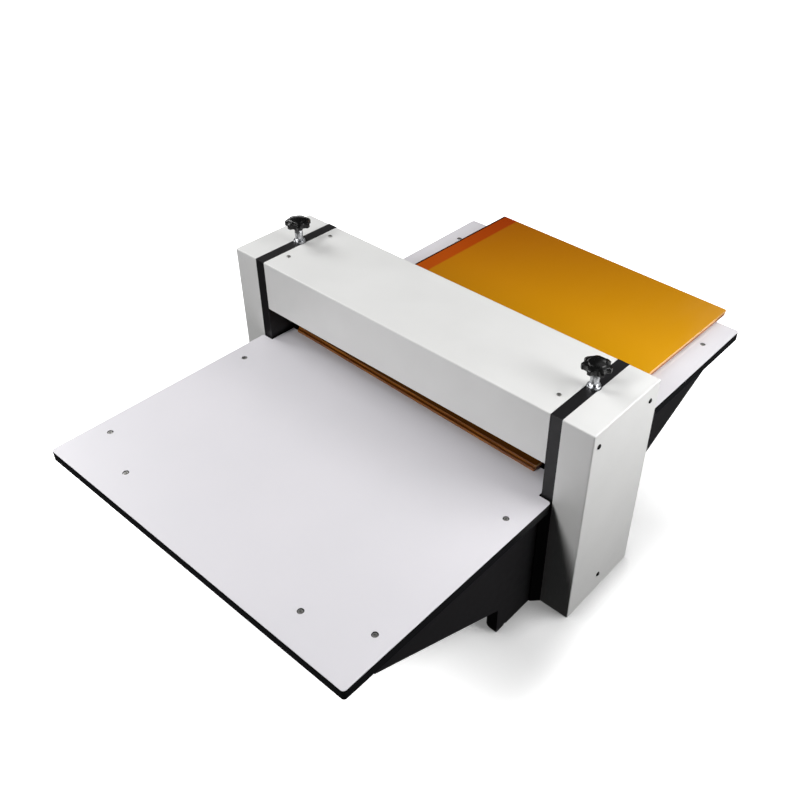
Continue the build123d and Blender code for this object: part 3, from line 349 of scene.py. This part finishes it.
def amber(name, edge_glow, edge_shade):
    """Translucent amber sheet, red along its left edge, with painted light and shade: paler to the near right, and
    darkened where it leads into the throat.

    Its long cut sides are striped between the two edge colours, and its sawn ends are darker.
    """
    s = Surface(name, (0.5, 0.2, 0.01), 0.2, Coat_Weight=0.2, Coat_Roughness=0.1)
    along = s.ramp(s.axis("Y"), CARRIER_HIGH.y, CARRIER_LOW.y)
    across = s.ramp(s.axis("X"), CARRIER_LOW.x, CARRIER_HIGH.x)
    # painted light: the sheet is painted paler towards its near right, where more light falls
    painted_light = s.ramp(s.math("ADD", along, across), 0.1, 1.5)
    face = s.blend(painted_light, (0.40, 0.122, 0.002), (0.715, 0.342, 0.004))

    # the red band and its rim, at a distance from the left edge, which runs askew
    edge_lean = s.math("MULTIPLY", s.axis("Y"), math.tan(CARRIER_SKEW))
    from_edge = s.math("ADD", s.math("SUBTRACT", s.axis("X"), CARRIER_EDGE_X), edge_lean)
    band = s.ramp(from_edge, RED_BAND + 0.002, RED_BAND - 0.002)
    # the red band is also painted darker towards its far end, the same painted light
    red = s.blend(along, (0.36, 0.042, 0.001), (0.60, 0.12, 0.003))
    rim = s.ramp(from_edge, DARK_RIM + 0.0005, DARK_RIM - 0.0005)
    face = s.blend(band, face, red)
    face = s.blend(rim, face, (0.028, 0.004, 0.001))

    # painted shade on the end in the throat under the cover, square to the sheet
    end_lean = s.math("MULTIPLY", s.axis("X"), -math.sin(CARRIER_SKEW))
    lengthways = s.math("ADD", s.axis("Y"), end_lean)
    throat_shade = s.ramp(lengthways, THROAT_SHADE_TO + 0.005, THROAT_SHADE_TO - 0.005)
    face = s.blend(throat_shade, face, (0.15, 0.045, 0.004))

    side = s.ramp(s.math("ABSOLUTE", s.normal_axis("Z")), 0.9, 0.5)
    front = s.ramp(s.math("ABSOLUTE", s.normal_axis("Y")), 0.5, 0.9)
    layer = s.ramp(s.noise(0.0012, 2, (0.02, 0.02, 1)), 0.4, 0.6)
    cut = s.blend(layer, edge_shade, edge_glow)
    sawn = s.blend(layer, (0.15, 0.040, 0.012), (0.42, 0.15, 0.015))
    s.give("Base Color", s.blend(side, face, s.blend(front, cut, sawn)))
    s.give("Roughness", s.ramp(s.noise(0.03, 4, (1, 0.2, 1)), 0.3, 0.75, 0.16, 0.28))
    s.bump(s.noise(0.004, 2), 0.000012, 0.0005)
    return s.material


MATERIALS = {
    "cover_paint": cover_paint(),
    "black_paint": black_paint("black_paint", 0.011),
    "zinc_sheet": zinc_sheet(),
    "table_white": table_white(),
    "table_edge": table_edge(),
    "dark_screw": dark_screw(),
    "zinc_screw": zinc_screw(),
    "machined_steel": plain_metal(
        "machined_steel", (0.46, 0.46, 0.47), (0.6, 0.61, 0.62), (0.22, 0.38), 0.0006, (6, 1, 1), 0.000006
    ),
    "bearing_steel": bearing_steel("bearing_steel", LOWER_AXIS),
    "block_iron": block_iron(),
    "chrome": chrome(),
    "knob_black": knob_black(),
    "roller_rubber": roller_rubber(),
    "motor_paint": motor_paint(),
    "gearbox_alloy": gearbox_alloy(),
    "cable_black": dark_plastic("cable_black", (0.02, 0.02, 0.02), 0.5, 0.0008, 0.00002),
    "switch_black": dark_plastic("switch_black", (0.018, 0.018, 0.019), 0.45, 0.0006, 0.00002),
    "rocker_red": dark_plastic("rocker_red", (0.42, 0.015, 0.01), 0.3, 0.002, 0.00001),
    "amber": amber("amber", (0.95, 0.60, 0.24), (0.85, 0.45, 0.15)),
}

for part in frame["record"]["subparts"]:
    mesh = frame["nodes"][part["node"]].data
    mesh.materials.clear()
    mesh.materials.append(MATERIALS[part["material_slot"]])


def repaint(material, *nodes):
    """Gives CAD nodes a variant of their slot's material."""
    for node in nodes:
        frame["nodes"][node].data.materials[0] = material


upper_bearings = bearing_steel("upper_bearing_steel", UPPER_AXIS)
repaint(upper_bearings, "upper_bearing_outer_rings", "upper_bearing_inner_rings")
# a lighter copy of the black paint: painted light for the brackets, which catch more light than the side plates
painted_light_bracket_paint = black_paint("painted_light_bracket_paint", 0.019)
for end in ("infeed", "outfeed"):
    repaint(painted_light_bracket_paint, f"{end}_left_bracket", f"{end}_right_bracket")
lower_amber = amber("amber_lower", (0.42, 0.16, 0.07), (0.30, 0.10, 0.04))
repaint(lower_amber, "lower_carrier_plate")


# ---------------------------------------------------------------- mesh kit
def turned(mesh, rings, at, turn=None, sides=48):
    """Adds a closed solid of revolution to a bmesh, from its bottom's middle to its top's middle.

    All its measures are in millimetres. Each ring is a radius and a height above the point at, and
    either of them may be a function of the angle.
    """
    place = Matrix.Translation(at) @ (turn or Matrix())
    angles = [2 * math.pi * k / sides for k in range(sides)]
    loops = []
    for radius, height in rings:
        loop = []
        for angle in angles if radius else angles[:1]:
            r = radius(angle) if callable(radius) else radius
            z = height(angle) if callable(height) else height
            loop.append(mesh.verts.new(place @ Vector((r * math.cos(angle), r * math.sin(angle), z)) * MM))
        loops.append(loop)
    for low, high in zip(loops, loops[1:]):
        for k in range(sides):
            after = (k + 1) % sides
            below = [low[k % len(low)], low[after % len(low)]]
            above = [high[after % len(high)], high[k % len(high)]]
            mesh.faces.new(dict.fromkeys(below + above))


def rounded(low, high, r, corner):
    """Rings of an upright wall of radius r between two heights, with both its rims rounded off."""
    steps = [math.pi / 2 * k / 4 for k in range(5)]
    foot = [(r - corner + corner * math.sin(a), low + corner - corner * math.cos(a)) for a in steps]
    top = [(r - corner + corner * math.cos(a), high - corner + corner * math.sin(a)) for a in steps]
    return foot + top


def cross_recess(arm, half_width):
    """The outline of a cross recess, as a radius in each direction."""
    def reach(angle):
        along, across = abs(math.cos(angle)) + 1e-9, abs(math.sin(angle)) + 1e-9
        return max(min(arm / along, half_width / across), min(arm / across, half_width / along))
    return reach


def finish_piece(name, mesh, body, slot, material, *nodes):
    """Turns a bmesh into a piece that rides on a body in place of CAD nodes.

    The slot, which is the record's, is not used; the material is a name in MATERIALS.
    """
    data = bpy.data.meshes.new(name)
    mesh.to_mesh(data)
    mesh.free()
    data.polygons.foreach_set("use_smooth", [True] * len(data.polygons))
    data.set_sharp_from_angle(angle=math.radians(38))
    data.materials.append(MATERIALS[material])
    piece = bpy.data.objects.new(name, data)
    bpy.context.collection.objects.link(piece)
    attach(piece, body)
    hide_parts(*nodes)


# ---------------------------------------------------------------- star knobs, in millimetres
LOBES = 7
KNOB_R = 22.4
NOTCH_AT = KNOB_R + 3.5  # from the knob's centre to the centre of each notch
NOTCH_R = 8.2
FIRST_NOTCH = math.radians(-10)
DOME_R = 42.0
CAP = 0.58  # the cap's share of the radius
FLUTE_DEPTH = 0.9
HUB_R = 8.5
HUB_HEIGHT = 7.0  # from the hub's foot to the underside of the lobes
TIP_MERGE = 1.6  # over this much of the radius, a lobe's tip and its notches run into each other


def notch_angle(angle):
    """The angle from the nearest notch's middle."""
    pitch = 2 * math.pi / LOBES
    return (angle - FIRST_NOTCH + pitch / 2) % pitch - pitch / 2


def star(angle):
    """Distance from the knob's centre to its scalloped rim."""
    off = notch_angle(angle)
    inside = max(NOTCH_R**2 - (NOTCH_AT * math.sin(off)) ** 2, 0)
    notch = NOTCH_AT * math.cos(off) - math.sqrt(inside)
    overlap = max(TIP_MERGE - abs(notch - KNOB_R), 0) / TIP_MERGE
    return min(notch, KNOB_R) - overlap**2 * TIP_MERGE / 4


def dome_ring(share, top, sunk=0.0):
    """A ring on the knob's dome at a share of its radius: round at the cap and scalloped at the rim."""
    scalloped = min(max((share - CAP) / (1 - CAP), 0), 1) ** 0.7

    def radius(angle):
        return share * (KNOB_R + (star(angle) - KNOB_R) * scalloped)

    def height(angle):
        depth = FLUTE_DEPTH * scalloped * (1 - scalloped) * 4
        flute = depth * (KNOB_R - star(angle)) / (KNOB_R - NOTCH_AT + NOTCH_R)
        return top - DOME_R + math.sqrt(DOME_R**2 - radius(angle) ** 2) - flute - sunk

    return radius, height


def star_knob(side):
    """A domed seven-lobed knob with a raised round cap and a short hub underneath."""
    low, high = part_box(f"{side}_star_knob")
    top = (high.z - low.z) / MM
    rings = [(0, 0), (HUB_R - 0.8, 0), (HUB_R - 0.2, 0.3), (HUB_R, 0.9)]
    rings += [(HUB_R, HUB_HEIGHT - 0.4), (HUB_R + 0.6, HUB_HEIGHT)]
    underside = [(1.6, 0.0), (0.7, 0.25), (0.2, 0.7), (0.0, 1.4)]
    rings += [(lambda a, inset=inset: star(a) - inset, HUB_HEIGHT + rise) for inset, rise in underside]
    rings += [(star, lambda a: dome_ring(1.0, top)[1](a) - 1.2)]
    shoulder = [(0.995, 0.75), (0.985, 0.35), (0.965, 0.1), (0.93, 0)]
    rings += [dome_ring(share, top, sunk) for share, sunk in shoulder]
    rings += [dome_ring(share, top) for share in (0.89, 0.85, 0.81, 0.77, 0.73, 0.69, 0.65, 0.62)]
    rings += [dome_ring(CAP + 0.02, top), dome_ring(CAP + 0.01, top, 0.2), dome_ring(CAP - 0.01, top, 0.2)]
    rings += [dome_ring(share, top) for share in (CAP - 0.02, CAP - 0.05, 0.45, 0.35, 0.24, 0.12)]
    rings += [(0, top)]
    mesh = bmesh.new()
    at = Vector((middle(f"{side}_pressure_screw").x, LOWER_AXIS.y, low.z))
    turned(mesh, rings, at / MM, sides=LOBES * 24)
    node = f"{side}_star_knob"
    finish_piece(f"{side}_domed_star_knob", mesh, f"{side}_screw", "knob_black", "knob_black", node)


# ---------------------------------------------------------------- pressure screws, in millimetres
SCREW_R = 7.0
FOOT_HEIGHT = 10.4
STUD_R = 5.0  # above the foot, and again inside the knob
STUD_LENGTH = 13.0
THREAD_FROM, THREAD_TO = 14.6, 66.0
THREAD_PITCH = 2.0
THREAD_DEPTH = 1.2
TURN_STEPS = 6  # rings to a turn of the thread


def thread(radius, height):
    """The radius round a right-hand thread at one height."""
    def reach(angle):
        turn = (height / THREAD_PITCH - angle / (2 * math.pi)) % 1
        return radius - THREAD_DEPTH * min(abs(2 * turn - 1) * 1.15, 1)
    return reach


def pressure_screw(side):
    """A threaded screw with a bright plain neck under the knob and a captive foot."""
    low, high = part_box(f"{side}_pressure_screw")
    foot_r, top = (high.x - low.x) / 2 / MM, (high.z - low.z) / MM
    neck_r, neck_top = SCREW_R - 0.1, top - STUD_LENGTH
    rings = [(0, 0)] + rounded(0, FOOT_HEIGHT, foot_r, 0.8)
    rings += [(STUD_R, FOOT_HEIGHT), (STUD_R, 14.0), (SCREW_R - THREAD_DEPTH, 14.2)]
    step = THREAD_PITCH / TURN_STEPS
    for k in range(round((THREAD_TO - THREAD_FROM) / step) + 1):
        height = THREAD_FROM + k * step
        rings.append((thread(SCREW_R, height), height))
    rings += [(SCREW_R - 0.6, THREAD_TO + 0.6), (neck_r, THREAD_TO + 1.2), (neck_r, neck_top - 0.6)]
    rings += [(SCREW_R - 0.5, neck_top), (STUD_R, neck_top), (STUD_R, top - 0.6)]
    rings += [(STUD_R - 0.6, top), (0, top)]
    mesh = bmesh.new()
    at = Vector((middle(f"{side}_pressure_screw").x, LOWER_AXIS.y, low.z))
    turned(mesh, rings, at / MM)
    node = f"{side}_pressure_screw"
    finish_piece(f"{side}_threaded_screw", mesh, f"{side}_screw", "chrome", "chrome", node)


# ---------------------------------------------------------------- screws with cross recesses, in millimetres
TABLE_RECESS = (2.2, 0.62), (2.0, 0.55)  # arm and half width of a recess, at its mouth and at its floor
COVER_RECESS = (2.0, 0.55), (1.7, 0.45)
ROLLER_COVER_HEAD_R = 3.7
SIDE_COVER_HEAD_R = 4.1


def countersunk_screw(mesh, low, high):
    """A table screw: a countersunk head just under the surface, with its shank and its recess."""
    at = Vector(((low.x + high.x) / 2, (low.y + high.y) / 2, high.z)) / MM
    length = (high.z - low.z) / MM
    head = (high.x - low.x) / 2 / MM
    mouth, floor = (cross_recess(*size) for size in TABLE_RECESS)
    rings = [(0, -length), (2.1, -length), (2.5, -length + 0.5), (2.5, -2.8), (head - 0.15, -1.25)]
    rings += [(head, -1.05), (head, -0.3), (head - 0.15, -0.06), (head - 0.45, 0)]
    rings += [(2.75, 0), (mouth, -0.05), (floor, -1.1), (0.6, -1.6), (0, -1.9)]
    any_angle = math.radians(at.x * 1.7 + at.y)
    turned(mesh, rings, at, Matrix.Rotation(any_angle, 4, "Z"), sides=56)


def pan_screw(mesh, tip, outward, head):
    """A cover screw: its domed head with the recess, outwards from the point tip, and its shank."""
    reach = head * 0.55
    mouth, floor = (cross_recess(*size) for size in COVER_RECESS)
    rings = [(0, -12), (2.1, -12), (2.5, -11.5), (2.5, 0), (head - 0.3, 0), (head, 0.25), (head, 0.75)]
    rings += [(head * math.cos(a), 0.75 + (reach - 0.75) * math.sin(a)) for a in (0.35, 0.6, 0.85, 1.0)]
    rings += [(mouth, reach), (floor, reach - 1.2), (0.5, reach - 1.5), (0, reach - 1.7)]
    any_angle = math.radians(tip.x * 900)
    turned(mesh, rings, tip / MM, outward @ Matrix.Rotation(any_angle, 4, "Z"), sides=56)


def screw_sets():
    """The table screws and both kinds of cover screw, each set as one piece."""
    sunk, top, outer = bmesh.new(), bmesh.new(), bmesh.new()
    for low, high in solids("table_screws"):
        countersunk_screw(sunk, low, high)
    cover_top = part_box("roller_cover")[1].z
    cover_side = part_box("right_side_cover")[1].x
    for low, high in solids("cover_screws"):
        centre = (low + high) / 2
        if high.z - low.z > high.x - low.x:
            pan_screw(top, Vector((centre.x, centre.y, cover_top)), Matrix(), ROLLER_COVER_HEAD_R)
        else:
            side = math.copysign(1, centre.x)
            outward = Matrix.Rotation(side * math.pi / 2, 4, "Y")
            tip = Vector((side * cover_side, centre.y, centre.z))
            pan_screw(outer, tip, outward, SIDE_COVER_HEAD_R)
    finish_piece("table_screw_set", sunk, "frame", "zinc_screw", "zinc_screw", "table_screws")
    finish_piece("roller_cover_screw_set", top, "frame", "dark_screw", "zinc_screw", "cover_screws")
    finish_piece("side_cover_screw_set", outer, "frame", "dark_screw", "dark_screw", "cover_screws")


for side in ("left", "right"):
    star_knob(side)
    pressure_screw(side)
screw_sets()


# ---------------------------------------------------------------- stage, lights and camera
UNDER_COVERS = (0.37, 0.18, 1)  # half the size of the patch of floor under the covers
FLOOR_GLOW = 0.2  # the floor's own light on that patch; it is 1 further away
GLOW_FADE = 0.3  # distance from the patch at which it reaches 1
CONTACT_SHADOW_REACH = 0.05  # the floor gets a painted contact shadow where something is closer to it than this
WORLD_LIGHT = 0.018
CENTRE = (0, 0, 0.2)
RIGHT_COVER = (0.37, 0, 0.3)
LEFT_KNOB, RIGHT_KNOB = (-0.31, 0, 0.4), (0.31, 0, 0.4)
OUTFEED_BRACKET = (0.31, 0.4, 0.2)
CAMERA_AT = (0.81083, -0.91992, 1.17736)
AZIMUTH, ELEVATION, ROLL = (math.radians(a) for a in (39.48, 38.0, 1.67))


def studio_floor():
    """A plain white floor: lit by the lamps at the object's foot, and by itself further away, with a painted
    contact shadow where things stand close over it.
    """
    bpy.ops.mesh.primitive_plane_add(size=30)
    floor = bpy.context.object
    floor.name = "floor"
    s = Surface("floor_white", (0.92, 0.92, 0.92), 0.9)
    s.give("Specular IOR Level", 0.0)
    s.give("Emission Color", (1, 1, 1, 1))
    sideways = s.node("VectorMath", {0: s.point}, operation="ABSOLUTE").outputs[0]
    outside = s.node("VectorMath", {0: sideways, 1: UNDER_COVERS}, operation="SUBTRACT").outputs[0]
    outside = s.node("VectorMath", {0: outside, 1: (0, 0, 0)}, operation="MAXIMUM").outputs[0]
    distance = s.node("VectorMath", {0: outside}, operation="LENGTH").outputs["Value"]
    # painted contact shadow: the floor's colour darkens where something is near it
    clear_of_painted_shadow = s.node("AmbientOcclusion", {"Distance": CONTACT_SHADOW_REACH}, samples=16).outputs["AO"]
    s.give("Base Color", s.blend(s.ramp(clear_of_painted_shadow, 0.4, 0.95), (0.3, 0.3, 0.3), (0.92, 0.92, 0.92)))
    s.give("Emission Strength", s.ramp(distance, 0, GLOW_FADE, FLOOR_GLOW, 1.0))
    floor.data.materials.append(s.material)
    floor.visible_diffuse = False
    floor.visible_glossy = False


def soft_box(name, at, aim, size, power):
    """A rectangular area light that stands at a point and faces another, unseen by the camera."""
    light = bpy.data.lights.new(name, "AREA")
    light.shape = "RECTANGLE"
    light.size, light.size_y = size
    light.energy = power
    lamp = bpy.data.objects.new(name, light)
    lamp.location = at
    lamp.rotation_euler = (Vector(aim) - Vector(at)).to_track_quat("-Z", "Y").to_euler()
    lamp.visible_camera = False
    bpy.context.collection.objects.link(lamp)


def studio_world():
    """A white room for the eye, and a dim even light for everything else."""
    world = bpy.data.worlds.new("studio")
    world.use_nodes = True
    tree = world.node_tree
    back = tree.nodes["Background"]
    seen = tree.nodes.new("ShaderNodeBackground")
    seen.inputs["Color"].default_value = (1, 1, 1, 1)
    back.inputs["Color"].default_value = (1, 1, 1, 1)
    back.inputs["Strength"].default_value = WORLD_LIGHT
    path = tree.nodes.new("ShaderNodeLightPath")
    mix = tree.nodes.new("ShaderNodeMixShader")
    tree.links.new(path.outputs["Is Camera Ray"], mix.inputs[0])
    tree.links.new(back.outputs[0], mix.inputs[1])
    tree.links.new(seen.outputs[0], mix.inputs[2])
    tree.links.new(mix.outputs[0], tree.nodes["World Output"].inputs[0])
    bpy.context.scene.world = world


def studio_camera():
    """The camera, which looks down on the machine from over the near right corner."""
    data = bpy.data.cameras.new("camera")
    data.sensor_width = 36
    data.lens = 41.175
    data.shift_x, data.shift_y = -0.0654, -0.0156
    data.clip_end = 100
    camera = bpy.data.objects.new("camera", data)
    turn = Matrix.Rotation(AZIMUTH, 4, "Z") @ Matrix.Rotation(math.pi / 2 - ELEVATION, 4, "X")
    camera.matrix_world = Matrix.Translation(CAMERA_AT) @ turn @ Matrix.Rotation(ROLL, 4, "Z")
    bpy.context.collection.objects.link(camera)
    bpy.context.scene.camera = camera


studio_floor()
studio_world()
soft_box("key", (-0.75, -2.8, 2.37), CENTRE, (0.7, 0.7), 46)
soft_box("key_fill", (-0.95, -1.3, 2.77), CENTRE, (0.9, 0.9), 24)
soft_box("left", (-2.4, -0.3, 1.8), CENTRE, (1.0, 1.2), 38)
soft_box("back_top", (0.2, 1.6, 2.5), CENTRE, (1.2, 1.2), 3)
soft_box("right_near", (0.9, 0.2, 0.62), RIGHT_COVER, (0.4, 0.4), 3)
soft_box("right_top", (1.0, 0.7, 1.3), CENTRE, (0.6, 0.6), 6.5)
soft_box("right_far", (1.6, 0.3, 0.9), RIGHT_COVER, (0.4, 0.4), 6)
soft_box("back_card", (-0.05, 1.97, 1.32), RIGHT_KNOB, (0.3, 0.5), 1.6)
soft_box("left_card", (-2.0, 1.3, 0.5), LEFT_KNOB, (1.2, 0.5), 3.8)
soft_box("low_card", (1.1, 1.3, 0.05), OUTFEED_BRACKET, (0.6, 0.3), 3)
studio_camera()
bpy.context.scene.view_settings.view_transform = "Standard"
